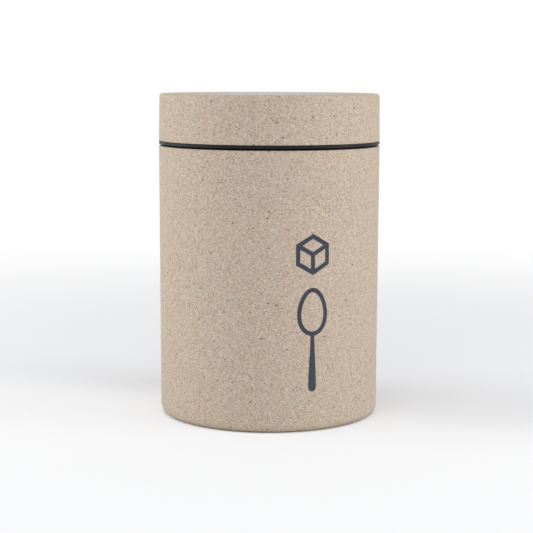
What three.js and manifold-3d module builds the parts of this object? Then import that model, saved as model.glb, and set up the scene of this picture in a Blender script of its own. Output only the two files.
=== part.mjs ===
import * as THREE from 'three'
import { mergeVertices } from 'three/addons/utils/BufferGeometryUtils.js'
import Module from 'manifold-3d'

// Round storage canister with a press-on lid.
// Millimetres, +Z up, origin at the centre of the base.
// The lid is a speckled cap that snaps over a black liner. The liner's flange is the dark ring in the seam,
// and its plug carries a lip seal down into the bore of the body.

// Overall sizes
const outerDiameter = 110
const overallHeight = 160
const capHeight = 23.25
const outerRadius = outerDiameter / 2
const facetCount = 72

// Seam, from the rim of the body upwards
const seatGap = 0.05
const shadowGap = 0.85
const shadowDepth = 1.4
const flangeFace = 1.5
const flangeEdge = 0.2
const capSeatGap = 0.15

// Body moulding
const bodyWall = 2.7
const bodyFloor = 3.4
const bodyDraft = 0.3
const baseFillet = 4.2
const innerFillet = 7
const boreTaper = 0.5
const sealLandDepth = 18
const rimEdge = 0.45
const rimLeadIn = 0.6
const footWidth = 6
const footRecess = 1.2
const footSlope = 1.5

// Cap moulding
const capWall = 2.6
const capThickness = 3.4
const capDraft = 0.3
const capTopFillet = 1.5
const capEdge = 0.3
const capInnerFillet = 2
const capLeadIn = 0.5
const ribThickness = 1.4
const ribDepth = 5
const hubRadius = 14
const gussetReach = 2.2
const gussetClearance = 0.4

// Inlaid disc and the film that sticks it down
const discRadius = 38
const discThickness = 0.8
const discEdge = 0.2
const discSink = 0.05
const discClearance = 0.15
const recessEdge = 0.15
const filmThickness = 0.25
const filmMargin = 1
const filmGap = 0.05

// Liner moulding
const linerWall = 1.8
const linerFloor = 2.4
const linerInnerFillet = 1.5
const plugDepth = 14
const plugClearance = 0.8
const plugFillet = 1.6
const lowerLip = 2.8
const grooveDepth = 2.4
const grooveHeight = 5.6
const spigotHeight = 5
const spigotClearance = 0.3
const spigotLeadIn = 0.5

// Snap fingers on the liner and the catches that they hook over in the cap
const fingerCount = 6
const fingerWidth = 10
const fingerThickness = 1.5
const fingerSlot = 1.2
const hookReach = 0.9
const hookNose = 0.7
const hookHeight = 2.6
const hookTipInset = 0.6
const catchWidth = 13
const catchReach = 1.2
const catchNose = 0.6
const catchHeight = 3
const catchLift = 2
const catchClearance = 0.3
const snapPlay = 0.3

// Lip seal
const sealFit = 0.1
const sealWeb = 1.3
const sealLipClearance = 0.3
const sealLipCount = 2
const sealLipRoot = 1.2
const sealLipTip = 0.6
const sealLipRise = 0.8
const sealLipPitch = 2.6
const sealFoot = 0.4

// How far joined solids run into each other, and cutters run past what they cut
const joinBite = 0.5
const cutOverrun = 1

// Heights that the pieces share
const capTop = overallHeight
const capBottom = capTop - capHeight
const flangeTop = capBottom - capSeatGap
const flangeFaceBottom = flangeTop - flangeFace
const rimHeight = flangeFaceBottom - shadowGap
const flangeSeat = rimHeight + seatGap
const ceiling = capTop - capThickness
const plugBottom = rimHeight - plugDepth
const linerFloorTop = plugBottom + linerFloor
const grooveBottom = plugBottom + lowerLip
const grooveTop = grooveBottom + grooveHeight
const spigotTop = flangeTop + spigotHeight
const catchTop = spigotTop + catchLift + catchHeight
const hookBottom = catchTop + snapPlay

// Radii that the pieces share
const boreRadius = outerRadius - bodyWall
const plugRadius = boreRadius - plugClearance
const plugInnerRadius = plugRadius - linerWall
const grooveRadius = plugRadius - grooveDepth
const capInnerRadius = outerRadius - capWall
const spigotRadius = capInnerRadius - spigotClearance
const recessRadius = discRadius + discClearance
const catchFace = capInnerRadius - catchReach
const fingerFace = catchFace - catchClearance

const wasm = await Module()
wasm.setup()

// Points of a round stretch of an outline, with its angles in degrees
function arc(centreRadius, centreHeight, radius, startAngle, endAngle, steps) {
  const points = []
  for (let step = 0; step <= steps; step++) {
    const angle = THREE.MathUtils.degToRad(startAngle + ((endAngle - startAngle) * step) / steps)
    points.push([centreRadius + radius * Math.cos(angle), centreHeight + radius * Math.sin(angle)])
  }
  return points
}

// A solid of revolution about Z, from an outline of [radius, height] points that runs anticlockwise
function revolve(outline) {
  const points = outline.map(([radius, height]) => new THREE.Vector2(radius, height))
  const geometry = new THREE.LatheGeometry(points, facetCount)
  geometry.rotateX(Math.PI / 2)
  return geometry
}

// A prism with its outline of [radius, height] points in a radial plane, turned round Z
function radialPrism(outline, width, turn) {
  const shape = new THREE.Shape(outline.map(([radius, height]) => new THREE.Vector2(radius, height)))
  const geometry = new THREE.ExtrudeGeometry(shape, { depth: width, bevelEnabled: false })
  geometry.translate(0, 0, -width / 2)
  geometry.rotateX(Math.PI / 2)
  geometry.rotateZ(turn)
  return geometry
}

function toSolid(geometry) {
  const bare = geometry.clone()
  bare.deleteAttribute('normal')
  bare.deleteAttribute('uv')
  const merged = mergeVertices(bare)
  return new wasm.Manifold(
    new wasm.Mesh({
      numProp: 3,
      vertProperties: new Float32Array(merged.attributes.position.array),
      triVerts: new Uint32Array(merged.index.array),
    }),
  )
}

function toGeometry(solid) {
  const mesh = solid.getMesh()
  const geometry = new THREE.BufferGeometry()
  geometry.setAttribute('position', new THREE.BufferAttribute(mesh.vertProperties, mesh.numProp))
  geometry.setIndex(new THREE.BufferAttribute(mesh.triVerts, 1))
  geometry.computeVertexNormals()
  return geometry
}

// Angles of the fingers, and of what lies halfway between them
function aroundAxis(count, offsetShare) {
  return Array.from({ length: count }, (_, index) => ((index + offsetShare) / count) * 2 * Math.PI)
}

// Body: drafted wall, slightly tapered bore below the seal's land, a foot ring round a shallow recess
function bodyGeometry() {
  const footOuter = outerRadius - bodyDraft - baseFillet
  const footInner = footOuter - footWidth
  const boreBottom = boreRadius - boreTaper
  return revolve([
    [0, footRecess],
    [footInner - footSlope, footRecess],
    [footInner, 0],
    ...arc(footOuter, baseFillet, baseFillet, -90, 0, 6),
    ...arc(outerRadius - rimEdge, rimHeight - rimEdge, rimEdge, 0, 90, 2),
    [boreRadius + rimLeadIn, rimHeight],
    [boreRadius, rimHeight - rimLeadIn],
    [boreRadius, rimHeight - sealLandDepth],
    ...arc(boreBottom - innerFillet, bodyFloor + innerFillet, innerFillet, 0, -90, 4),
    [0, bodyFloor],
  ])
}

// Cap: a shallow cup turned upside down, recessed on top for the disc
function capShell() {
  const recessFloor = capTop - discSink - discThickness - filmThickness - 2 * filmGap
  return revolve([
    [0, ceiling],
    ...arc(capInnerRadius - capInnerFillet, ceiling - capInnerFillet, capInnerFillet, 90, 0, 2),
    [capInnerRadius, capBottom + capLeadIn],
    [capInnerRadius + capLeadIn, capBottom],
    [outerRadius - capEdge, capBottom],
    [outerRadius, capBottom + capEdge],
    ...arc(outerRadius - capDraft - capTopFillet, capTop - capTopFillet, capTopFillet, 0, 90, 5),
    [recessRadius + recessEdge, capTop],
    [recessRadius, capTop - recessEdge],
    [recessRadius, recessFloor],
    [0, recessFloor],
  ])
}

// Stiffening rib under the cap's top, which turns down the skirt as a gusset that centres the spigot
function capRib(turn) {
  const gussetBottom = spigotTop + gussetClearance
  const ribBottom = ceiling - ribDepth
  const outline = [
    [hubRadius, ceiling + joinBite],
    [hubRadius, ribBottom],
    [capInnerRadius - gussetReach - ribDepth, ribBottom],
    [capInnerRadius - gussetReach, ribBottom - ribDepth],
    [capInnerRadius - gussetReach, gussetBottom],
    [capInnerRadius + joinBite, gussetBottom],
    [capInnerRadius + joinBite, ceiling + joinBite],
  ]
  return radialPrism(outline, ribThickness, turn)
}

// Ring that joins the ribs under the middle of the cap
function capHub() {
  const inner = hubRadius - ribThickness / 2
  const outer = hubRadius + ribThickness / 2
  return revolve([
    [inner, ceiling - ribDepth],
    [outer, ceiling - ribDepth],
    [outer, ceiling + joinBite],
    [inner, ceiling + joinBite],
    [inner, ceiling - ribDepth],
  ])
}

// Catch on the inside of the skirt: sloped below so that the hook rides over it, flat on top
function capCatch(turn) {
  const outline = [
    [capInnerRadius + joinBite, catchTop - catchHeight],
    [capInnerRadius, catchTop - catchHeight],
    [catchFace, catchTop - catchNose],
    [catchFace, catchTop],
    [capInnerRadius + joinBite, catchTop],
  ]
  return radialPrism(outline, catchWidth, turn)
}

function capGeometry() {
  let solid = toSolid(capShell()).add(toSolid(capHub()))
  for (const turn of aroundAxis(fingerCount, 1 / 2)) {
    solid = solid.add(toSolid(capRib(turn)))
  }
  for (const turn of aroundAxis(fingerCount, 0)) {
    solid = solid.add(toSolid(capCatch(turn)))
  }
  return toGeometry(solid)
}

// Liner: a closed plug with a groove for the seal, a flange that rests on the rim and a spigot for the cap
function linerShell() {
  const shadowRadius = outerRadius - shadowDepth
  const grooveInner = grooveRadius - linerWall
  return revolve([
    [0, plugBottom],
    ...arc(plugRadius - plugFillet, plugBottom + plugFillet, plugFillet, -90, 0, 3),
    [plugRadius, grooveBottom],
    [grooveRadius, grooveBottom],
    [grooveRadius, grooveTop],
    [plugRadius, grooveTop],
    [plugRadius, flangeSeat],
    [shadowRadius, flangeSeat],
    [shadowRadius, flangeFaceBottom],
    [outerRadius - flangeEdge, flangeFaceBottom],
    [outerRadius, flangeFaceBottom + flangeEdge],
    [outerRadius, flangeTop - flangeEdge],
    [outerRadius - flangeEdge, flangeTop],
    [spigotRadius, flangeTop],
    [spigotRadius, spigotTop - spigotLeadIn],
    [spigotRadius - spigotLeadIn, spigotTop],
    [spigotRadius - linerWall, spigotTop],
    [plugInnerRadius, flangeFaceBottom],
    [plugInnerRadius, grooveTop + linerWall],
    [grooveInner, grooveTop + linerWall],
    ...arc(grooveInner - linerInnerFillet, linerFloorTop + linerInnerFillet, linerInnerFillet, 0, -90, 2),
    [0, linerFloorTop],
  ])
}

// Gap in the spigot that leaves a finger free to bend
function fingerWindow(turn) {
  const inner = plugInnerRadius - cutOverrun
  const outer = spigotRadius + cutOverrun
  const outline = [
    [inner, flangeTop],
    [outer, flangeTop],
    [outer, spigotTop + cutOverrun],
    [inner, spigotTop + cutOverrun],
  ]
  return radialPrism(outline, fingerWidth + 2 * fingerSlot, turn)
}

// Finger that stands on the flange and hooks over a catch
function snapFinger(turn) {
  const hookFace = fingerFace + hookReach
  const outline = [
    [fingerFace - fingerThickness, flangeFaceBottom],
    [fingerFace, flangeFaceBottom],
    [fingerFace, hookBottom],
    [hookFace, hookBottom],
    [hookFace, hookBottom + hookNose],
    [fingerFace - hookTipInset, hookBottom + hookHeight],
    [fingerFace - fingerThickness, hookBottom + hookHeight],
  ]
  return radialPrism(outline, fingerWidth, turn)
}

function linerGeometry() {
  let solid = toSolid(linerShell())
  for (const turn of aroundAxis(fingerCount, 0)) {
    solid = solid.subtract(toSolid(fingerWindow(turn))).add(toSolid(snapFinger(turn)))
  }
  return toGeometry(solid)
}

// Seal: a band in the groove with lips that sweep up and out to the bore
function sealGeometry() {
  const inner = grooveRadius + sealFit
  const web = inner + sealWeb
  const tip = boreRadius - sealLipClearance
  const bottom = grooveBottom + sealFit
  const top = grooveTop - sealFit
  const lips = Array.from({ length: sealLipCount }, (_, index) => {
    const root = bottom + sealFoot + index * sealLipPitch
    return [
      [web, root],
      [tip, root + sealLipRise],
      [tip, root + sealLipRise + sealLipTip],
      [web, root + sealLipRoot],
    ]
  })
  return revolve([[inner, bottom], [web, bottom], ...lips.flat(), [web, top], [inner, top], [inner, bottom]])
}

// Thin metal disc, flush with the cap's top
function discGeometry() {
  const top = capTop - discSink
  const bottom = top - discThickness
  return revolve([
    [0, bottom],
    [discRadius, bottom],
    [discRadius, top - discEdge],
    [discRadius - discEdge, top],
    [0, top],
  ])
}

// Adhesive film between the disc and the floor of its recess
function filmGeometry() {
  const top = capTop - discSink - discThickness - filmGap
  const bottom = top - filmThickness
  const radius = discRadius - filmMargin
  return revolve([
    [0, bottom],
    [radius, bottom],
    [radius, top],
    [0, top],
  ])
}

const speckledMoulding = new THREE.MeshStandardMaterial({ color: 0xc1b1a0, roughness: 0.85, metalness: 0 })
const blackMoulding = new THREE.MeshStandardMaterial({ color: 0x1d1d1f, roughness: 0.4, metalness: 0 })
const satinSteel = new THREE.MeshStandardMaterial({ color: 0xbcbcbc, roughness: 0.3, metalness: 1 })
const greySilicone = new THREE.MeshStandardMaterial({ color: 0x3a3b3e, roughness: 0.6, metalness: 0 })
const adhesive = new THREE.MeshStandardMaterial({ color: 0xe6e4dc, roughness: 0.7, metalness: 0 })

function piece(name, geometry, material) {
  const mesh = new THREE.Mesh(geometry, material)
  mesh.name = name
  return mesh
}

const lid = new THREE.Group()
lid.add(
  piece('lid_cap', capGeometry(), speckledMoulding),
  piece('lid_disc', discGeometry(), satinSteel),
  piece('disc_film', filmGeometry(), adhesive),
  piece('lid_liner', linerGeometry(), blackMoulding),
  piece('seal_ring', sealGeometry(), greySilicone),
)

const canister = new THREE.Group()
canister.add(piece('canister_body', bodyGeometry(), speckledMoulding), lid)

export default canister
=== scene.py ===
import math

import bmesh
import bpy
from mathutils import Matrix, Vector
from mathutils.geometry import delaunay_2d_cdt


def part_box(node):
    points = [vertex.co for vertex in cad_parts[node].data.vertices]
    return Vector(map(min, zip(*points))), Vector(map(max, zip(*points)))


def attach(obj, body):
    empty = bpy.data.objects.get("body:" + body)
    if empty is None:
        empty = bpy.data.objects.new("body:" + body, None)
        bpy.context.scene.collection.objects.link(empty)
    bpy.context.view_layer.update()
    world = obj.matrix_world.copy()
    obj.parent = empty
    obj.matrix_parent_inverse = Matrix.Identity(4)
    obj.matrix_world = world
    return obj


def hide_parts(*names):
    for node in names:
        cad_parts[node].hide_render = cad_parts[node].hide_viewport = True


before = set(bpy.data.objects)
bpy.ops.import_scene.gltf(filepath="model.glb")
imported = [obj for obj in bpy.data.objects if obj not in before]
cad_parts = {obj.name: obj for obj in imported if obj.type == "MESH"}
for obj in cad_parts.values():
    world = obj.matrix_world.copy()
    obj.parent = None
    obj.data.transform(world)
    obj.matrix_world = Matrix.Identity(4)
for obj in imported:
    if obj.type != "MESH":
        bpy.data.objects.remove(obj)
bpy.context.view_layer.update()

MM = 0.001

# The corners of the whole frame and of each of its pieces, in metres
_, body_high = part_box("canister_body")
cap_low, cap_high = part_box("lid_cap")
disc_low, disc_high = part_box("lid_disc")
liner_low, liner_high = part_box("lid_liner")
seal_low, seal_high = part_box("seal_ring")

# Sizes taken from the frame
OUTER_RADIUS = body_high.x
RIM = body_high.z
CAP_BOTTOM = cap_low.z
CAP_TOP = cap_high.z
DISC_RADIUS = disc_high.x
DISC_BOTTOM = disc_low.z
DISC_TOP = disc_high.z
PLUG_BOTTOM = liner_low.z
HOOK_TOP = liner_high.z
SEAL_BOTTOM = seal_low.z
SEAL_TOP = seal_high.z

# Body
BODY_WALL = 2.7 * MM
BODY_FLOOR = 3.4 * MM
BASE_FILLET = 4.2 * MM
BODY_DRAFT = 0.3 * MM
INNER_FILLET = 7 * MM
BORE_TAPER = 0.5 * MM
SEAL_LAND = 18 * MM
RIM_EDGE = 0.45 * MM
RIM_LEAD_IN = 0.6 * MM
FOOT_WIDTH = 6 * MM
FOOT_RECESS = 1.2 * MM
FOOT_SLOPE = 1.5 * MM

# Cap
CAP_WALL = 2.6 * MM
CAP_THICKNESS = 3.4 * MM
CAP_FILLET = 1.5 * MM
CAP_DRAFT = 0.3 * MM
CAP_EDGE = 0.3 * MM
CAP_INNER_FILLET = 2 * MM
RECESS_GAP = 0.15 * MM
RECESS_EDGE = 0.2 * MM
FILM_SPACE = 0.35 * MM

# Disc
DISC_EDGE = 0.2 * MM

# Liner
LINER_WALL = 1.8 * MM
LINER_FLOOR = 2.4 * MM
LINER_INNER_FILLET = 1.5 * MM
PLUG_CLEARANCE = 0.8 * MM
PLUG_FILLET = 1.6 * MM
GROOVE_DEPTH = 2.4 * MM
SEAL_FIT = 0.1 * MM
SEAT_GAP = 0.05 * MM
SHADOW_GAP = 0.85 * MM
SHADOW_DEPTH = 1.4 * MM
CAP_SEAT_GAP = 0.15 * MM
FLANGE_EDGE = 0.22 * MM
SPIGOT_HEIGHT = 5 * MM
SPIGOT_CLEARANCE = 0.3 * MM
SPIGOT_LEAD_IN = 0.5 * MM

# Ribs under the cap, its catches, and the liner's fingers that hook over them
SNAP_COUNT = 6
RIB_THICKNESS = 1.4 * MM
RIB_DEPTH = 5 * MM
HUB_RADIUS = 14 * MM
GUSSET_REACH = 2.2 * MM
GUSSET_CLEARANCE = 0.4 * MM
CATCH_WIDTH = 13 * MM
CATCH_REACH = 1.2 * MM
CATCH_NOSE = 0.6 * MM
CATCH_HEIGHT = 3 * MM
CATCH_CLEARANCE = 0.3 * MM
SNAP_PLAY = 0.3 * MM
FINGER_WIDTH = 10 * MM
FINGER_THICKNESS = 1.5 * MM
FINGER_SLOT = 1.2 * MM
HOOK_REACH = 0.9 * MM
HOOK_NOSE = 0.7 * MM
HOOK_HEIGHT = 2.6 * MM
HOOK_TIP_INSET = 0.6 * MM
JOIN_BITE = 0.5 * MM
CUT_OVERRUN = 1 * MM

# Seal
SEAL_WEB = 1.3 * MM
SEAL_LIP_REACH = 0.05 * MM
SEAL_LIP_COUNT = 2
SEAL_LIP_ROOT = 1.2 * MM
SEAL_LIP_TIP = 0.35 * MM
SEAL_LIP_RISE = 0.8 * MM
SEAL_LIP_PITCH = 2.6 * MM
SEAL_TIP_START = -70
SEAL_TIP_END = 80
SEAL_FOOT = 0.4 * MM

# Mesh fineness: steps of a turn and of the corners, and the straight lead beside a round corner
SEGMENTS = 192
ARC_STEPS = 10
RIM_STEPS = 6
SMALL_ARC_STEPS = 5
EDGE_STEPS = 4
HOLD = 0.12 * MM
SHARP_ANGLE = math.radians(28)

# A length that counts as none
TINY = 1e-7

# Radii worked out from the ones above
BORE_RADIUS = OUTER_RADIUS - BODY_WALL
PLUG_RADIUS = BORE_RADIUS - PLUG_CLEARANCE
GROOVE_RADIUS = PLUG_RADIUS - GROOVE_DEPTH
CAP_INNER_RADIUS = OUTER_RADIUS - CAP_WALL
SPIGOT_RADIUS = CAP_INNER_RADIUS - SPIGOT_CLEARANCE


def fillet(radius, height, size, start, end, steps=ARC_STEPS):
    """A round corner of an outline about (radius, height), from one angle in degrees to the other.
    It has a short straight lead at each end, so that the flats beside it shade flat."""
    points = []
    for step in range(steps + 1):
        angle = math.radians(start + (end - start) * step / steps)
        points.append((radius + size * math.cos(angle), height + size * math.sin(angle)))
    turn = math.copysign(1, end - start)
    first = math.radians(start)
    last = math.radians(end)
    lead_in = (points[0][0] + turn * HOLD * math.sin(first), points[0][1] - turn * HOLD * math.cos(first))
    lead_out = (points[-1][0] - turn * HOLD * math.sin(last), points[-1][1] + turn * HOLD * math.cos(last))
    return [lead_in, *points, lead_out]


def mesh_object(name, bm, material):
    """A finished, smooth-shaded object from a bmesh, with sharp edges kept sharp."""
    bmesh.ops.recalc_face_normals(bm, faces=bm.faces)
    mesh = bpy.data.meshes.new(name)
    bm.to_mesh(mesh)
    bm.free()
    mesh.shade_smooth()
    mesh.set_sharp_from_angle(angle=SHARP_ANGLE)
    mesh.materials.append(material)
    piece = bpy.data.objects.new(name, mesh)
    bpy.context.scene.collection.objects.link(piece)
    return piece


def revolve(outline):
    """A bmesh turned about Z from (radius, height) points.
    They start and end on the axis, or close on themselves."""
    bm = bmesh.new()
    rings = []
    turns = [2 * math.pi * k / SEGMENTS for k in range(SEGMENTS)]
    for radius, height in outline:
        if radius < TINY:
            rings.append([bm.verts.new((0, 0, height))])
        else:
            rings.append([bm.verts.new((radius * math.cos(t), radius * math.sin(t), height)) for t in turns])
    pairs = list(zip(rings, rings[1:]))
    if len(rings[0]) > 1:
        pairs.append((rings[-1], rings[0]))
    for low, high in pairs:
        for k in range(SEGMENTS):
            after = (k + 1) % SEGMENTS
            if len(low) == 1:
                bm.faces.new((low[0], high[after], high[k]))
            elif len(high) == 1:
                bm.faces.new((low[k], low[after], high[0]))
            else:
                bm.faces.new((low[k], low[after], high[after], high[k]))
    return bm


def radial_prism(outline, width, turn):
    """A bmesh of an outline of (radius, height) points in a plane through Z, made as thick as width."""
    bm = bmesh.new()
    spin = Matrix.Rotation(turn, 3, "Z")
    sides = []
    for across in (-width / 2, width / 2):
        sides.append([bm.verts.new(spin @ Vector((radius, across, height))) for radius, height in outline])
    near, far = sides
    bm.faces.new(near)
    bm.faces.new(reversed(far))
    for k in range(len(outline)):
        after = (k + 1) % len(outline)
        bm.faces.new((near[k], far[k], far[after], near[after]))
    return bm


def combine(piece, tools, operation):
    """Joins tool solids to a piece, or cuts them out of it."""
    for bm in tools:
        bmesh.ops.recalc_face_normals(bm, faces=bm.faces)
        mesh = bpy.data.meshes.new("tool")
        bm.to_mesh(mesh)
        bm.free()
        tool = bpy.data.objects.new("tool", mesh)
        bpy.context.scene.collection.objects.link(tool)
        change = piece.modifiers.new("combine", "BOOLEAN")
        change.operation = operation
        change.solver = "EXACT"
        change.object = tool
        depsgraph = bpy.context.evaluated_depsgraph_get()
        result = bpy.data.meshes.new_from_object(piece.evaluated_get(depsgraph))
        piece.modifiers.remove(change)
        old = piece.data
        piece.data = result
        bpy.data.meshes.remove(old)
        bpy.data.objects.remove(tool)
        bpy.data.meshes.remove(mesh)
    piece.data.name = piece.name
    piece.data.shade_smooth()
    piece.data.set_sharp_from_angle(angle=SHARP_ANGLE)


def around_axis(offset_share):
    """Angles of the fingers, or of what lies a share of their spacing further round."""
    return [(k + offset_share) / SNAP_COUNT * 2 * math.pi for k in range(SNAP_COUNT)]


def body_outline():
    base = OUTER_RADIUS - BODY_DRAFT
    foot = base - BASE_FILLET - FOOT_WIDTH
    bore_bottom = BORE_RADIUS - BORE_TAPER
    return [
        (0, FOOT_RECESS),
        (foot - FOOT_SLOPE, FOOT_RECESS),
        (foot, 0),
        *fillet(base - BASE_FILLET, BASE_FILLET, BASE_FILLET, -90, 0),
        *fillet(OUTER_RADIUS - RIM_EDGE, RIM - RIM_EDGE, RIM_EDGE, 0, 90, RIM_STEPS),
        (BORE_RADIUS + RIM_LEAD_IN, RIM),
        (BORE_RADIUS, RIM - RIM_LEAD_IN),
        (BORE_RADIUS, RIM - SEAL_LAND),
        *fillet(bore_bottom - INNER_FILLET, BODY_FLOOR + INNER_FILLET, INNER_FILLET, 0, -90),
        (0, BODY_FLOOR),
    ]


def cap_outline():
    ceiling = CAP_TOP - CAP_THICKNESS
    recess = DISC_RADIUS + RECESS_GAP
    recess_floor = DISC_BOTTOM - FILM_SPACE
    edge_height = CAP_BOTTOM + CAP_EDGE
    return [
        (0, ceiling),
        *fillet(CAP_INNER_RADIUS - CAP_INNER_FILLET, ceiling - CAP_INNER_FILLET, CAP_INNER_FILLET, 90, 0),
        *fillet(CAP_INNER_RADIUS + CAP_EDGE, edge_height, CAP_EDGE, 180, 270, EDGE_STEPS),
        *fillet(OUTER_RADIUS - CAP_EDGE, edge_height, CAP_EDGE, -90, 0, EDGE_STEPS),
        *fillet(OUTER_RADIUS - CAP_DRAFT - CAP_FILLET, CAP_TOP - CAP_FILLET, CAP_FILLET, 0, 90),
        *fillet(recess + RECESS_EDGE, CAP_TOP - RECESS_EDGE, RECESS_EDGE, 90, 180, EDGE_STEPS),
        (recess, recess_floor),
        (0, recess_floor),
    ]


def cap_rib(turn):
    """A rib under the cap's top, which turns down the skirt as a gusset."""
    ceiling = CAP_TOP - CAP_THICKNESS
    gusset = CAP_INNER_RADIUS - GUSSET_REACH
    gusset_bottom = CAP_BOTTOM - CAP_SEAT_GAP + SPIGOT_HEIGHT + GUSSET_CLEARANCE
    rib_bottom = ceiling - RIB_DEPTH
    return radial_prism([
        (HUB_RADIUS, ceiling + JOIN_BITE),
        (HUB_RADIUS, rib_bottom),
        (gusset - RIB_DEPTH, rib_bottom),
        (gusset, rib_bottom - RIB_DEPTH),
        (gusset, gusset_bottom),
        (CAP_INNER_RADIUS + JOIN_BITE, gusset_bottom),
        (CAP_INNER_RADIUS + JOIN_BITE, ceiling + JOIN_BITE),
    ], RIB_THICKNESS, turn)


def cap_hub():
    """The ring that joins the ribs under the middle of the cap."""
    ceiling = CAP_TOP - CAP_THICKNESS
    inner = HUB_RADIUS - RIB_THICKNESS / 2
    outer = HUB_RADIUS + RIB_THICKNESS / 2
    return revolve([
        (inner, ceiling - RIB_DEPTH),
        (outer, ceiling - RIB_DEPTH),
        (outer, ceiling + JOIN_BITE),
        (inner, ceiling + JOIN_BITE),
    ])


def cap_catch(turn):
    """A catch inside the skirt: sloped below, so that the hook rides over it, and flat on top."""
    top = HOOK_TOP - HOOK_HEIGHT - SNAP_PLAY
    face = CAP_INNER_RADIUS - CATCH_REACH
    return radial_prism([
        (CAP_INNER_RADIUS + JOIN_BITE, top - CATCH_HEIGHT),
        (CAP_INNER_RADIUS + HOLD, top - CATCH_HEIGHT),
        (face, top - CATCH_NOSE),
        (face, top),
        (CAP_INNER_RADIUS + JOIN_BITE, top),
    ], CATCH_WIDTH, turn)


def finger_window(turn):
    """The gap in the spigot that leaves a finger free to bend."""
    bottom = CAP_BOTTOM - CAP_SEAT_GAP
    top = bottom + SPIGOT_HEIGHT + CUT_OVERRUN
    inner = PLUG_RADIUS - LINER_WALL - CUT_OVERRUN
    outer = SPIGOT_RADIUS + CUT_OVERRUN
    outline = [(inner, bottom), (outer, bottom), (outer, top), (inner, top)]
    return radial_prism(outline, FINGER_WIDTH + 2 * FINGER_SLOT, turn)


def snap_finger(turn):
    """A finger that stands on the flange and hooks over a catch."""
    face = CAP_INNER_RADIUS - CATCH_REACH - CATCH_CLEARANCE
    root = RIM + SHADOW_GAP
    hook_bottom = HOOK_TOP - HOOK_HEIGHT
    return radial_prism([
        (face - FINGER_THICKNESS, root),
        (face, root),
        (face, hook_bottom),
        (face + HOOK_REACH, hook_bottom),
        (face + HOOK_REACH, hook_bottom + HOOK_NOSE),
        (face - HOOK_TIP_INSET, HOOK_TOP),
        (face - FINGER_THICKNESS, HOOK_TOP),
    ], FINGER_WIDTH, turn)


def disc_outline():
    return [
        (0, DISC_BOTTOM),
        (DISC_RADIUS, DISC_BOTTOM),
        *fillet(DISC_RADIUS - DISC_EDGE, DISC_TOP - DISC_EDGE, DISC_EDGE, 0, 90, SMALL_ARC_STEPS),
        (0, DISC_TOP),
    ]


def liner_outline():
    groove_bottom = SEAL_BOTTOM - SEAL_FIT
    groove_top = SEAL_TOP + SEAL_FIT
    flange_seat = RIM + SEAT_GAP
    flange_bottom = RIM + SHADOW_GAP
    flange_top = CAP_BOTTOM - CAP_SEAT_GAP
    spigot_top = flange_top + SPIGOT_HEIGHT
    inner = PLUG_RADIUS - LINER_WALL
    groove_inner = GROOVE_RADIUS - LINER_WALL
    floor_top = PLUG_BOTTOM + LINER_FLOOR
    corner = LINER_INNER_FILLET
    face = OUTER_RADIUS - FLANGE_EDGE
    return [
        (0, PLUG_BOTTOM),
        *fillet(PLUG_RADIUS - PLUG_FILLET, PLUG_BOTTOM + PLUG_FILLET, PLUG_FILLET, -90, 0),
        (PLUG_RADIUS, groove_bottom),
        (GROOVE_RADIUS, groove_bottom),
        (GROOVE_RADIUS, groove_top),
        (PLUG_RADIUS, groove_top),
        (PLUG_RADIUS, flange_seat),
        (OUTER_RADIUS - SHADOW_DEPTH, flange_seat),
        (OUTER_RADIUS - SHADOW_DEPTH, flange_bottom),
        *fillet(face, flange_bottom + FLANGE_EDGE, FLANGE_EDGE, -90, 0, SMALL_ARC_STEPS),
        *fillet(face, flange_top - FLANGE_EDGE, FLANGE_EDGE, 0, 90, SMALL_ARC_STEPS),
        (SPIGOT_RADIUS, flange_top),
        (SPIGOT_RADIUS, spigot_top - SPIGOT_LEAD_IN),
        (SPIGOT_RADIUS - SPIGOT_LEAD_IN, spigot_top),
        (SPIGOT_RADIUS - LINER_WALL, spigot_top),
        (inner, flange_bottom),
        (inner, groove_top + LINER_WALL),
        (groove_inner, groove_top + LINER_WALL),
        *fillet(groove_inner - corner, floor_top + corner, corner, 0, -90, EDGE_STEPS),
        (0, floor_top),
    ]


def seal_outline():
    inner = GROOVE_RADIUS + SEAL_FIT
    web = inner + SEAL_WEB
    tip_radius = SEAL_LIP_TIP / 2
    tip_centre = BORE_RADIUS - SEAL_LIP_REACH - tip_radius
    points = [(inner, SEAL_BOTTOM), (web, SEAL_BOTTOM)]
    for lip in range(SEAL_LIP_COUNT):
        root = SEAL_BOTTOM + SEAL_FOOT + lip * SEAL_LIP_PITCH
        tip_height = root + SEAL_LIP_RISE + tip_radius
        points.append((web, root))
        points += fillet(tip_centre, tip_height, tip_radius, SEAL_TIP_START, SEAL_TIP_END, SMALL_ARC_STEPS)
        points.append((web, root + SEAL_LIP_ROOT))
    return points + [(web, SEAL_TOP), (inner, SEAL_TOP)]


# Noise: the span that most of its values lie in, and how fine it is
NOISE_LOW = 0.3
NOISE_HIGH = 0.7
SOFT_DETAIL = 2
FINE_DETAIL = 3

# The sockets of a mix of numbers and of one of colours: the share, what is mixed, and the result
NUMBER_MIX_SOCKETS = (0, 2, 3)
NUMBER_MIX_RESULT = 0
COLOUR_MIX_SOCKETS = (0, 6, 7)
COLOUR_MIX_RESULT = 2
WHITE = (1, 1, 1, 1)


def node(tree, kind, **settings):
    """A shader node with its settings and its unlinked inputs, which are given by name with in_ in front."""
    made = tree.nodes.new(kind)
    for key, value in settings.items():
        if key.startswith("in_"):
            made.inputs[key[3:].replace("_", " ")].default_value = value
        else:
            setattr(made, key, value)
    return made


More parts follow.
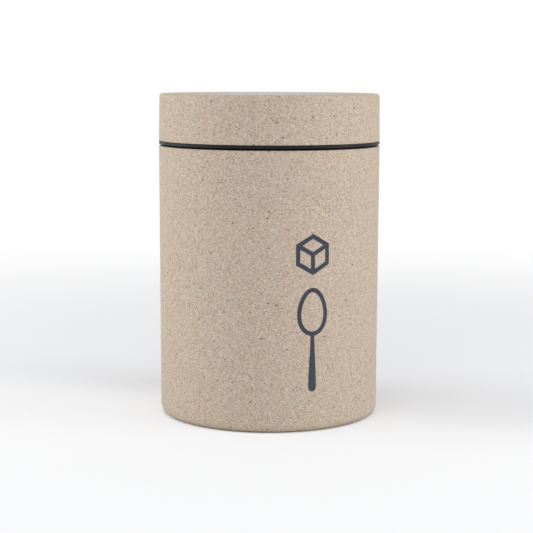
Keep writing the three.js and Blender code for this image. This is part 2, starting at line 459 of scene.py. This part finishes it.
def material(name, colour, roughness, metallic=0.0, specular=0.5):
    made = bpy.data.materials.new(name)
    made.use_nodes = True
    shader = made.node_tree.nodes["Principled BSDF"]
    shader.inputs["Base Color"].default_value = (*colour, 1)
    shader.inputs["Roughness"].default_value = roughness
    shader.inputs["Metallic"].default_value = metallic
    shader.inputs["Specular IOR Level"].default_value = specular
    return made, made.node_tree, shader


def remap(tree, source, low, high, to_low, to_high, smooth=False):
    """A value between low and high turned into one between to_low and to_high."""
    made = node(tree, "ShaderNodeMapRange", interpolation_type="SMOOTHSTEP" if smooth else "LINEAR")
    for key, value in (("From Min", low), ("From Max", high), ("To Min", to_low), ("To Max", to_high)):
        made.inputs[key].default_value = value
    tree.links.new(source, made.inputs["Value"])
    return made.outputs["Result"]


def by_noise(tree, source, low, high):
    """A value between low and high that follows a noise pattern."""
    return remap(tree, source, NOISE_LOW, NOISE_HIGH, low, high)


def feed(tree, socket, value):
    """Gives a socket a number, a colour or another node's result."""
    if isinstance(value, (int, float)):
        socket.default_value = value
    elif isinstance(value, tuple):
        socket.default_value = (*value, 1)
    else:
        tree.links.new(value, socket)


def math_node(tree, operation, first, second=0):
    made = node(tree, "ShaderNodeMath", operation=operation)
    for socket, value in zip(made.inputs, (first, second)):
        feed(tree, socket, value)
    return made.outputs[0]


def blend_numbers(tree, share, first, second):
    made = node(tree, "ShaderNodeMix", data_type="FLOAT", clamp_factor=True)
    for index, value in zip(NUMBER_MIX_SOCKETS, (share, first, second)):
        feed(tree, made.inputs[index], value)
    return made.outputs[NUMBER_MIX_RESULT]


def blend_colours(tree, share, first, second, mode="MIX"):
    made = node(tree, "ShaderNodeMix", data_type="RGBA", blend_type=mode, clamp_factor=True)
    for index, value in zip(COLOUR_MIX_SOCKETS, (share, first, second)):
        feed(tree, made.inputs[index], value)
    return made.outputs[COLOUR_MIX_RESULT]


def scaled_colour(tree, colour, tone):
    """A colour made paler or darker by a tone, 1 for no change."""
    made = node(tree, "ShaderNodeVectorMath", operation="SCALE")
    if isinstance(colour, tuple):
        made.inputs[0].default_value = colour
    else:
        tree.links.new(colour, made.inputs[0])
    tree.links.new(tone, made.inputs["Scale"])
    return made.outputs[0]


def object_place(tree):
    """The place on the piece, in metres from the frame's origin."""
    return node(tree, "ShaderNodeTexCoord").outputs["Object"]


def noise(tree, place, size, detail):
    made = node(tree, "ShaderNodeTexNoise", in_Scale=1 / size, in_Detail=detail)
    tree.links.new(place, made.inputs["Vector"])
    return made.outputs["Fac"]


def cells(tree, place, size):
    """Random cells of about the given size: the distance to their centres, and a random colour for each."""
    made = node(tree, "ShaderNodeTexVoronoi", in_Scale=1 / size)
    tree.links.new(place, made.inputs["Vector"])
    split = node(tree, "ShaderNodeSeparateColor")
    tree.links.new(made.outputs["Color"], split.inputs["Color"])
    return made.outputs["Distance"], split.outputs


def bump(tree, shader, height, distance, strength):
    made = node(tree, "ShaderNodeBump", in_Strength=strength, in_Distance=distance)
    tree.links.new(height, made.inputs["Height"])
    tree.links.new(made.outputs["Normal"], shader.inputs["Normal"])


# Speckled moulding: its ground and the colours that drift over it
SAND = (0.515, 0.422, 0.333)
SAND_OCHRE = (0.511, 0.418, 0.280)
SAND_GREY = (0.487, 0.432, 0.343)
SAND_ROSE = (0.533, 0.416, 0.341)
ROSE_DRIFT = {
    "colour": SAND_ROSE,
    "size": 7.5 * MM,
    "detail": SOFT_DETAIL,
    "flatness": 1,
    "noise_span": (0.4, 0.65),
    "cover": 0.8,
}
OCHRE_DRIFT = {
    "colour": SAND_OCHRE,
    "size": 2.6 * MM,
    "detail": SOFT_DETAIL,
    "flatness": 1.1,
    "noise_span": (0.53, 0.74),
    "cover": 1,
}
GREY_DRIFT = {
    "colour": SAND_GREY,
    "size": 3.4 * MM,
    "detail": FINE_DETAIL,
    "flatness": 0.9,
    "noise_span": (0.5, 0.75),
    "cover": 1,
}
SAND_ROUGHNESS = 0.82
SAND_ROUGHNESSES = (0.76, 0.88)
SAND_SPECULAR = 0.35
SHEEN_WEIGHT = 0.08
SHEEN_ROUGHNESS = 0.25

# Its grains, its flat and tall flakes and its clumps, each with its darkest and palest tone
GRAIN_SIZE = 0.42 * MM
GRAIN_TONES = (0.75, 1.225)
FLAKE_SIZE = 0.75 * MM
FLAKE_FLATNESSES = (1.7, 0.6)
FLAKE_TONES = (0.92, 1.07)
CLUMP_SIZE = 1.6 * MM
CLUMP_TONES = (0.95, 1.05)
TINTED_TONES = (0.75, 1.25)
DARK_TINT = (1.045, 1.0, 0.975)
PALE_TINT = (0.955, 1.0, 1.025)
GRAIN_RELIEF = 0.05 * MM
GRAIN_BUMP_SHARE = 0.35

# Its specks: share is how many of their places hold one, and radius and edge are shares of their spacing
SPECK_DARK = (0.12, 0.085, 0.062)
SPECK_RUST = (0.29, 0.18, 0.10)
SPECK_OCHRE = (0.52, 0.36, 0.18)
SPECK_PALE = (0.74, 0.65, 0.55)
SPECKS = [
    {"colour": SPECK_OCHRE, "spacing": 2.0 * MM, "share": 0.3, "radius": 0.36, "edge": 0.15, "cover": 0.4},
    {"colour": SPECK_PALE, "spacing": 1.2 * MM, "share": 0.16, "radius": 0.33, "edge": 0.1, "cover": 0.55},
    {"rust_from": 0.6, "spacing": 1.5 * MM, "share": 0.48, "radius": 0.33, "edge": 0.12, "cover": 0.66},
    {"rust_from": 0.5, "spacing": 3.4 * MM, "share": 0.24, "radius": 0.19, "edge": 0.05, "cover": 0.75},
]
SMALLEST_SPECK_SHARE = 0.5
RUST_BLEND_SHARE = 0.1


def stretched(tree, place, flatness):
    """The place with its height times flatness: over 1, a pattern gets flatter, and under 1 taller."""
    made = node(tree, "ShaderNodeVectorMath", operation="MULTIPLY")
    tree.links.new(place, made.inputs[0])
    made.inputs[1].default_value = (1, 1, flatness)
    return made.outputs[0]


def with_drift(tree, place, colour, drift):
    """The colour with another one that drifts over it in soft patches."""
    patches = noise(tree, stretched(tree, place, drift["flatness"]), drift["size"], drift["detail"])
    share = remap(tree, patches, *drift["noise_span"], 0, drift["cover"])
    return blend_colours(tree, share, colour, drift["colour"])


def with_specks(tree, place, colour, speck):
    """The colour with round specks of one kind on it, dark and rust ones where the kind has no colour."""
    distance, random = cells(tree, place, speck["spacing"])
    smallest = speck["radius"] * SMALLEST_SPECK_SHARE
    radius = remap(tree, random["Green"], 0, 1, smallest, speck["radius"])
    inside = math_node(tree, "SUBTRACT", radius, distance)
    disc = remap(tree, inside, 0, speck["edge"], 0, 1, smooth=True)
    chosen = math_node(tree, "GREATER_THAN", random["Red"], 1 - speck["share"])
    cover = math_node(tree, "MULTIPLY", math_node(tree, "MULTIPLY", disc, chosen), speck["cover"])
    tint = speck.get("colour")
    if tint is None:
        rust = remap(tree, random["Blue"], speck["rust_from"], speck["rust_from"] + RUST_BLEND_SHARE, 0, 1)
        tint = blend_colours(tree, rust, SPECK_DARK, SPECK_RUST)
    return blend_colours(tree, cover, colour, tint)


def speckled_moulding():
    made, tree, shader = material("speckled_moulding", SAND, SAND_ROUGHNESS, specular=SAND_SPECULAR)
    shader.inputs["Sheen Weight"].default_value = SHEEN_WEIGHT
    shader.inputs["Sheen Roughness"].default_value = SHEEN_ROUGHNESS
    place = object_place(tree)
    colour = SAND
    for drift in (ROSE_DRIFT, OCHRE_DRIFT, GREY_DRIFT):
        colour = with_drift(tree, place, colour, drift)
    clump = noise(tree, place, CLUMP_SIZE, SOFT_DETAIL)
    _, grain = cells(tree, place, GRAIN_SIZE)
    tone = remap(tree, grain["Red"], 0, 1, *GRAIN_TONES)
    for flatness in FLAKE_FLATNESSES:
        _, flake = cells(tree, stretched(tree, place, flatness), FLAKE_SIZE)
        tone = math_node(tree, "MULTIPLY", tone, remap(tree, flake["Red"], 0, 1, *FLAKE_TONES))
    tone = math_node(tree, "MULTIPLY", tone, by_noise(tree, clump, *CLUMP_TONES))
    tint = blend_colours(tree, remap(tree, tone, *TINTED_TONES, 0, 1), DARK_TINT, PALE_TINT)
    colour = blend_colours(tree, 1, scaled_colour(tree, colour, tone), tint, "MULTIPLY")
    for speck in SPECKS:
        colour = with_specks(tree, place, colour, speck)
    tree.links.new(colour, shader.inputs["Base Color"])
    tree.links.new(by_noise(tree, clump, *SAND_ROUGHNESSES), shader.inputs["Roughness"])
    bump(tree, shader, math_node(tree, "ADD", grain["Green"], clump), GRAIN_RELIEF, GRAIN_BUMP_SHARE)
    return made


def radius_of(tree, place):
    """The distance of a place from the axis."""
    split = node(tree, "ShaderNodeSeparateXYZ")
    tree.links.new(place, split.inputs[0])
    squares = [math_node(tree, "MULTIPLY", split.outputs[axis], split.outputs[axis]) for axis in ("X", "Y")]
    return math_node(tree, "SQRT", math_node(tree, "ADD", *squares))


# Black moulding: satin on the face of the flange, and matt on what is set back from it, which is made blacker
# as painted shade so that the gap under the flange reads dark
BLACK = (0.008, 0.008, 0.009)
BLACK_PAINTED_SHADE = (0.002, 0.002, 0.002)
BLACK_ROUGHNESS = 0.46
BLACK_ROUGHNESSES = (0.4, 0.5)
SET_BACK_ROUGHNESS = 0.95
BLACK_SPECULAR = 0.16
BLACK_CLOUD_SIZE = 9 * MM
BLACK_GRAIN_SIZE = 0.35 * MM
BLACK_RELIEF = 0.01 * MM
BLACK_BUMP_SHARE = 0.2


def black_moulding():
    made, tree, shader = material("black_moulding", BLACK, BLACK_ROUGHNESS, specular=BLACK_SPECULAR)
    place = object_place(tree)
    face_start = OUTER_RADIUS - SHADOW_DEPTH / 2
    face = remap(tree, radius_of(tree, place), face_start, OUTER_RADIUS - FLANGE_EDGE, 0, 1)
    satin = by_noise(tree, noise(tree, place, BLACK_CLOUD_SIZE, SOFT_DETAIL), *BLACK_ROUGHNESSES)
    tree.links.new(blend_numbers(tree, face, SET_BACK_ROUGHNESS, satin), shader.inputs["Roughness"])
    # Inward of the flange's face the colour is made blacker: painted shade for the gap under the flange
    tree.links.new(blend_colours(tree, face, BLACK_PAINTED_SHADE, BLACK), shader.inputs["Base Color"])
    grain = noise(tree, place, BLACK_GRAIN_SIZE, FINE_DETAIL)
    bump(tree, shader, grain, BLACK_RELIEF, BLACK_BUMP_SHARE)
    return made


# Satin steel: brushed in fine rings, which vary its tone and its roughness
STEEL = (0.400, 0.407, 0.421)
STEEL_EDGE = (0.573, 0.58, 0.595, 1)
STEEL_ROUGHNESS = 0.3
STEEL_ANISOTROPY = 0.55
BRUSH_SIZE = 0.9 * MM
BRUSH_DETAIL = 5
BRUSH_FINE_SHARE = 0.75
BRUSH_TONES = (0.92, 1.08)
BRUSH_ROUGHNESSES = (0.24, 0.36)
BRUSH_RELIEF = 0.004 * MM
BRUSH_BUMP_SHARE = 0.25


def satin_steel():
    made, tree, shader = material("satin_steel", STEEL, STEEL_ROUGHNESS, metallic=1.0)
    shader.inputs["Specular Tint"].default_value = STEEL_EDGE
    shader.inputs["Anisotropic"].default_value = STEEL_ANISOTROPY
    round_about = node(tree, "ShaderNodeTangent", direction_type="RADIAL", axis="Z")
    tree.links.new(round_about.outputs["Tangent"], shader.inputs["Tangent"])
    rings = node(tree, "ShaderNodeTexNoise", noise_dimensions="1D", in_Scale=1 / BRUSH_SIZE)
    rings.inputs["Detail"].default_value = BRUSH_DETAIL
    rings.inputs["Roughness"].default_value = BRUSH_FINE_SHARE
    tree.links.new(radius_of(tree, object_place(tree)), rings.inputs["W"])
    ring = rings.outputs["Fac"]
    tone = by_noise(tree, ring, *BRUSH_TONES)
    tree.links.new(scaled_colour(tree, STEEL, tone), shader.inputs["Base Color"])
    tree.links.new(by_noise(tree, ring, *BRUSH_ROUGHNESSES), shader.inputs["Roughness"])
    bump(tree, shader, ring, BRUSH_RELIEF, BRUSH_BUMP_SHARE)
    return made


# Silicone and adhesive film, whose roughness and relief follow one fine pattern each
SILICONE = {
    "colour": (0.045, 0.047, 0.050),
    "roughness": 0.5,
    "roughnesses": (0.42, 0.56),
    "size": 1.5 * MM,
    "detail": FINE_DETAIL,
    "relief": 0.02 * MM,
    "bump_share": 0.2,
}
FILM = {
    "colour": (0.80, 0.78, 0.72),
    "roughness": 0.6,
    "roughnesses": (0.5, 0.7),
    "size": 0.8 * MM,
    "detail": 4,
    "relief": 0.02 * MM,
    "bump_share": 0.3,
}


def soft_finish(name, finish):
    made, tree, shader = material(name, finish["colour"], finish["roughness"])
    pattern = noise(tree, object_place(tree), finish["size"], finish["detail"])
    tree.links.new(by_noise(tree, pattern, *finish["roughnesses"]), shader.inputs["Roughness"])
    bump(tree, shader, pattern, finish["relief"], finish["bump_share"])
    return made


# Print on the wall: a line drawing of a sugar lump over a teaspoon, turned round to the right of the front
PRINT_TURN = math.radians(22.1)
PRINT_TOP = 95.3 * MM
PRINT_BOTTOM = 19.8 * MM
LINE_WIDTH = 2.1 * MM
LUMP_EDGE = 8.6 * MM
LUMP_TO_SPOON = 6 * MM
BOWL_LENGTH = 23 * MM
BOWL_WIDTH = 15.5 * MM
BOWL_EGG_SHARE = 0.13
NECK_WIDTH = 2 * MM
HANDLE_END_WIDTH = 4 * MM
LUMP_CORNERS = 6
LUMP_FIRST_CORNER = 30
INK_HEIGHT = 0.03 * MM
INK_DEPTH = 0.03 * MM

# Its fineness, and the kind of flat mesh: triangles that lie inside the loops
OUTLINE_STEP = 0.7 * MM
ROUND_STEPS = 64
INSIDE_LOOPS = 1


def wall_radius(height):
    """The radius of the body's drafted wall at a height."""
    share = (height - BASE_FILLET) / (RIM - RIM_EDGE - BASE_FILLET)
    return OUTER_RADIUS - BODY_DRAFT * (1 - share)


def band(centre_line, half_widths, closed):
    """The outline of a line of a given half width at each of its points: two loops round a closed line."""
    count = len(centre_line)
    left = []
    right = []
    for k, point in enumerate(centre_line):
        before = centre_line[(k - 1) % count] if closed or k else point
        after = centre_line[(k + 1) % count] if closed or k < count - 1 else point
        across = (after - before).normalized().orthogonal()
        left.append(point + half_widths[k] * across)
        right.append(point - half_widths[k] * across)
    if closed:
        return [left, right]
    return [left + right[::-1]]


def polygon(centre, radius, first, corners):
    """The corners of a regular polygon, from one direction in degrees on."""
    turns = [math.radians(first + 360 * k / corners) for k in range(corners)]
    return [centre + radius * Vector((math.cos(t), math.sin(t))) for t in turns]


def lump_lines():
    """A cube seen from a corner: a six-sided ring and three bars from its middle."""
    half = LINE_WIDTH / 2
    mitre = half / math.cos(math.pi / LUMP_CORNERS)
    centre = Vector((0, PRINT_TOP - mitre - LUMP_EDGE))
    rings = (LUMP_EDGE + mitre, LUMP_EDGE - mitre)
    shapes = [[polygon(centre, radius, LUMP_FIRST_CORNER, LUMP_CORNERS) for radius in rings]]
    for corner in polygon(centre, LUMP_EDGE, LUMP_FIRST_CORNER, LUMP_CORNERS // 2):
        shapes.append(band([centre, corner], [half, half], False))
    return shapes


def spoon_lines():
    """A teaspoon standing on its handle: an egg-shaped ring and a handle that widens to a round end."""
    half = LINE_WIDTH / 2
    lump_height = 2 * (LUMP_EDGE + half / math.cos(math.pi / LUMP_CORNERS))
    bowl_top = PRINT_TOP - lump_height - LUMP_TO_SPOON
    long_half = BOWL_LENGTH / 2 - half
    wide_half = BOWL_WIDTH / 2 - half
    middle = bowl_top - BOWL_LENGTH / 2
    ring = []
    for k in range(ROUND_STEPS):
        turn = 2 * math.pi * k / ROUND_STEPS
        swell = 1 - BOWL_EGG_SHARE * math.cos(turn)
        ring.append(Vector((wide_half * swell * math.sin(turn), middle + long_half * math.cos(turn))))
    shapes = [band(ring, [half] * ROUND_STEPS, True)]
    root = middle - long_half
    end_half = HANDLE_END_WIDTH / 2
    end = PRINT_BOTTOM + end_half
    outline = []
    for k in range(ROUND_STEPS + 1):
        along = k / ROUND_STEPS
        eased = along * along * (3 - 2 * along)
        half_width = NECK_WIDTH / 2 + (end_half - NECK_WIDTH / 2) * eased
        outline.append(Vector((half_width, root + (end - root) * along)))
    for k in range(1, ROUND_STEPS):
        turn = -math.pi * k / ROUND_STEPS
        outline.append(Vector((end_half * math.cos(turn), end + end_half * math.sin(turn))))
    outline += [Vector((-point.x, point.y)) for point in reversed(outline[:ROUND_STEPS + 1])]
    shapes.append([outline])
    return shapes


def refined(loop):
    """A closed loop with points added until none of its edges is longer than OUTLINE_STEP."""
    points = []
    for k, start in enumerate(loop):
        end = loop[(k + 1) % len(loop)]
        pieces = max(1, math.ceil((end - start).length / OUTLINE_STEP))
        points += [start.lerp(end, step / pieces) for step in range(pieces)]
    return points


def anticlockwise(loop):
    """The loop, turned round if its points run clockwise."""
    pairs = zip(loop, loop[1:] + loop[:1])
    return loop if sum(start.cross(end) for start, end in pairs) > 0 else loop[::-1]


def merged(shapes):
    """A flat bmesh of shapes that overlap.
    Each shape is a list of loops, and where two loops of its own overlap is a hole."""
    points = []
    loops = []
    owners = []
    for owner, shape in enumerate(shapes):
        for loop in shape:
            first = len(points)
            points += anticlockwise(refined(loop))
            loops.append(list(range(first, len(points))))
            owners.append(owner)
    points, _, triangles, _, _, sources = delaunay_2d_cdt(points, [], loops, INSIDE_LOOPS, TINY)
    flat = bmesh.new()
    verts = [flat.verts.new((*point, 0)) for point in points]
    for corners, inside in zip(triangles, sources):
        around = [owners[k] for k in inside]
        if any(around.count(owner) % 2 for owner in around):
            flat.faces.new([verts[k] for k in corners])
    long_edges = [edge for edge in flat.edges if edge.calc_length() > 2 * OUTLINE_STEP]
    bmesh.ops.subdivide_edges(flat, edges=long_edges, cuts=1)
    bmesh.ops.triangulate(flat, faces=flat.faces)
    bmesh.ops.delete(flat, geom=[vert for vert in flat.verts if not vert.link_faces], context="VERTS")
    flat.verts.index_update()
    return flat


def printed_lines(shapes):
    """A thin closed skin over the wall, from flat shapes.
    Their points run along the wall from the middle of the print, and up from the floor."""
    flat = merged(shapes)
    skin = bmesh.new()
    layers = []
    for offset in (INK_HEIGHT, -INK_DEPTH):
        layer = []
        for vert in flat.verts:
            radius = wall_radius(vert.co.y) + offset
            turn = PRINT_TURN + vert.co.x / OUTER_RADIUS
            layer.append(skin.verts.new((radius * math.sin(turn), -radius * math.cos(turn), vert.co.y)))
        layers.append(layer)
    outer, inner = layers
    for face in flat.faces:
        corners = [vert.index for vert in face.verts]
        skin.faces.new([outer[k] for k in corners])
        skin.faces.new([inner[k] for k in reversed(corners)])
    for edge in flat.edges:
        if edge.is_boundary:
            first, last = (vert.index for vert in edge.verts)
            skin.faces.new((outer[first], outer[last], inner[last], inner[first]))
    flat.free()
    return skin


# Ink: thin where the ground shows through it, and full elsewhere
INK = (0.043, 0.048, 0.066)
INK_THIN = (0.038, 0.043, 0.060)
INK_FULL = (0.050, 0.055, 0.075)
INK_COVER_LOW = 0.35
INK_COVER_HIGH = 0.7
INK_ROUGHNESS = 0.6
INK_ROUGHNESSES = (0.52, 0.68)
INK_SPECULAR = 0.25
INK_BUMP_SHARE = 0.25


def slate_ink():
    made, tree, shader = material("slate_ink", INK, INK_ROUGHNESS, specular=INK_SPECULAR)
    place = object_place(tree)
    grain = noise(tree, place, GRAIN_SIZE, SOFT_DETAIL)
    clump = noise(tree, place, CLUMP_SIZE, SOFT_DETAIL)
    cover = remap(tree, clump, INK_COVER_LOW, INK_COVER_HIGH, 0, 1)
    tree.links.new(blend_colours(tree, cover, INK_THIN, INK_FULL), shader.inputs["Base Color"])
    tree.links.new(by_noise(tree, grain, *INK_ROUGHNESSES), shader.inputs["Roughness"])
    bump(tree, shader, grain, GRAIN_RELIEF, INK_BUMP_SHARE)
    return made


def dress(piece, body, cad_node):
    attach(piece, body)
    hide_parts(cad_node)


# Camera at the photograph's place, with its pitch down and its roll in radians and its focal length in pixels
CAMERA_DISTANCE = 735.98 * MM
CAMERA_HEIGHT = 170.65 * MM
CAMERA_SIDE = -1.228 * MM
CAMERA_PITCH = 0.13189
CAMERA_ROLL = 0.0028
FOCAL_PIXELS = 1468.29
FRAME_PIXELS = 533
CAMERA_CLIP_START = 10 * MM


def add_camera():
    data = bpy.data.cameras.new("camera")
    data.sensor_fit = "HORIZONTAL"
    data.lens = data.sensor_width * FOCAL_PIXELS / FRAME_PIXELS
    data.clip_start = CAMERA_CLIP_START
    camera = bpy.data.objects.new("camera", data)
    camera.location = (CAMERA_SIDE, -CAMERA_DISTANCE, CAMERA_HEIGHT)
    tilt = Matrix.Rotation(math.pi / 2 - CAMERA_PITCH, 3, "X")
    camera.rotation_euler = (tilt @ Matrix.Rotation(CAMERA_ROLL, 3, "Z")).to_euler()
    bpy.context.scene.collection.objects.link(camera)
    bpy.context.scene.camera = camera


# Softboxes: side and rise in degrees from the front and the floor, power in watts, width and height in metres
LIGHT_CENTRE_HEIGHT = 80 * MM
LIGHT_DISTANCE = 1.0
LIGHTS = {
    "softbox_left": {"side": -90, "rise": 15, "power": 5.0, "width": 0.6, "height": 0.8},
    "softbox_right": {"side": 74, "rise": 15, "power": 4.75, "width": 0.6, "height": 0.8},
    "softbox_front": {"side": 0, "rise": 50, "power": 6.2, "width": 1.7, "height": 1.5},
    "softbox_back": {"side": 180, "rise": 50, "power": 2.3, "width": 1.7, "height": 1.5},
}
WORLD_LEVEL = 0.35


def add_lights():
    centre = Vector((0, 0, LIGHT_CENTRE_HEIGHT))
    for name, light in LIGHTS.items():
        data = bpy.data.lights.new(name, "AREA")
        data.shape = "RECTANGLE"
        data.size = light["width"]
        data.size_y = light["height"]
        data.energy = light["power"]
        lamp = bpy.data.objects.new(name, data)
        turn = math.radians(light["side"])
        lift = math.radians(light["rise"])
        away = Vector((math.sin(turn) * math.cos(lift), -math.cos(turn) * math.cos(lift), math.sin(lift)))
        lamp.location = centre + LIGHT_DISTANCE * away
        lamp.rotation_euler = (-away).to_track_quat("-Z", "Y").to_euler()
        bpy.context.scene.collection.objects.link(lamp)


def seen_directly(tree):
    """1 for a ray that shows the surroundings as they look, 0 for one that lights something."""
    path = node(tree, "ShaderNodeLightPath")
    shown = math_node(tree, "MAXIMUM", path.outputs["Is Camera Ray"], path.outputs["Is Glossy Ray"])
    return math_node(tree, "MAXIMUM", shown, path.outputs["Is Transmission Ray"])


def add_world():
    world = bpy.data.worlds.new("studio")
    bpy.context.scene.world = world
    world.use_nodes = True
    tree = world.node_tree
    background = tree.nodes["Background"]
    background.inputs["Color"].default_value = WHITE
    tree.links.new(remap(tree, seen_directly(tree), 0, 1, WORLD_LEVEL, 1), background.inputs["Strength"])


# Floor: its size, colour and finish
FLOOR_HALF = 4.0
FLOOR_DROP = 0.02 * MM
FLOOR_COLOUR = (0.921, 0.932, 0.955)
FLOOR_ROUGHNESS = 0.9
FLOOR_SPECULAR = 0.1

# Its glow, far out and in front of the object, which leaves free a ring of contact shadow round the base
FLOOR_FADE_START = 0.15
FLOOR_FADE_END = 0.74
FLOOR_FRONT_TURN = math.radians(24)
FLOOR_FRONT_SHARE = 0.45
FLOOR_FRONT_START = -40 * MM
FLOOR_FRONT_END = 23 * MM
CONTACT_INSET = 1.9 * MM
GLOW_INSET = 0.3 * MM


def add_floor():
    """A pale floor that fades into the white surroundings away from the object, and is paler in front of it,
    a little more so on its left."""
    bm = bmesh.new()
    corners = [(-1, -1), (1, -1), (1, 1), (-1, 1)]
    bm.faces.new([bm.verts.new((x * FLOOR_HALF, y * FLOOR_HALF, -FLOOR_DROP)) for x, y in corners])
    made, tree, shader = material("floor", FLOOR_COLOUR, FLOOR_ROUGHNESS, specular=FLOOR_SPECULAR)
    floor = mesh_object("floor", bm, made)
    place = object_place(tree)
    length = node(tree, "ShaderNodeVectorMath", operation="LENGTH")
    tree.links.new(place, length.inputs[0])
    distance = length.outputs["Value"]
    far = remap(tree, distance, FLOOR_FADE_START, FLOOR_FADE_END, 0, 1, smooth=True)
    forward = node(tree, "ShaderNodeVectorMath", operation="DOT_PRODUCT")
    tree.links.new(place, forward.inputs[0])
    forward.inputs[1].default_value = (-math.sin(FLOOR_FRONT_TURN), -math.cos(FLOOR_FRONT_TURN), 0)
    ahead = forward.outputs["Value"]
    front = remap(tree, ahead, FLOOR_FRONT_START, FLOOR_FRONT_END, 0, FLOOR_FRONT_SHARE, smooth=True)
    clear = remap(tree, distance, OUTER_RADIUS - CONTACT_INSET, OUTER_RADIUS - GLOW_INSET, 0, 1)
    share = math_node(tree, "MAXIMUM", far, math_node(tree, "MULTIPLY", front, clear))
    glow = node(tree, "ShaderNodeEmission", in_Color=WHITE, in_Strength=1.0)
    mix = node(tree, "ShaderNodeMixShader")
    tree.links.new(math_node(tree, "MULTIPLY", share, seen_directly(tree)), mix.inputs["Fac"])
    tree.links.new(shader.outputs[0], mix.inputs[1])
    tree.links.new(glow.outputs[0], mix.inputs[2])
    tree.links.new(mix.outputs[0], tree.nodes["Material Output"].inputs["Surface"])


add_camera()
add_lights()
add_world()
add_floor()

sand = speckled_moulding()

body = mesh_object("body_shell", revolve(body_outline()), sand)
dress(body, "canister", "canister_body")

cap = mesh_object("cap_shell", revolve(cap_outline()), sand)
combine(cap, [cap_hub(), *map(cap_rib, around_axis(1 / 2)), *map(cap_catch, around_axis(0))], "UNION")
dress(cap, "lid", "lid_cap")

disc = mesh_object("inlay_disc", revolve(disc_outline()), satin_steel())
dress(disc, "lid", "lid_disc")

liner = mesh_object("plug_liner", revolve(liner_outline()), black_moulding())
combine(liner, map(finger_window, around_axis(0)), "DIFFERENCE")
combine(liner, map(snap_finger, around_axis(0)), "UNION")
dress(liner, "lid", "lid_liner")

seal = mesh_object("lip_seal", revolve(seal_outline()), soft_finish("grey_silicone", SILICONE))
dress(seal, "lid", "seal_ring")

print_lines = mesh_object("print_lines", printed_lines(lump_lines() + spoon_lines()), slate_ink())
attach(print_lines, "canister")

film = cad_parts["disc_film"]
film.data.materials.clear()
film.data.materials.append(soft_finish("adhesive_film", FILM))

view = bpy.context.scene.view_settings
view.view_transform = "Standard"
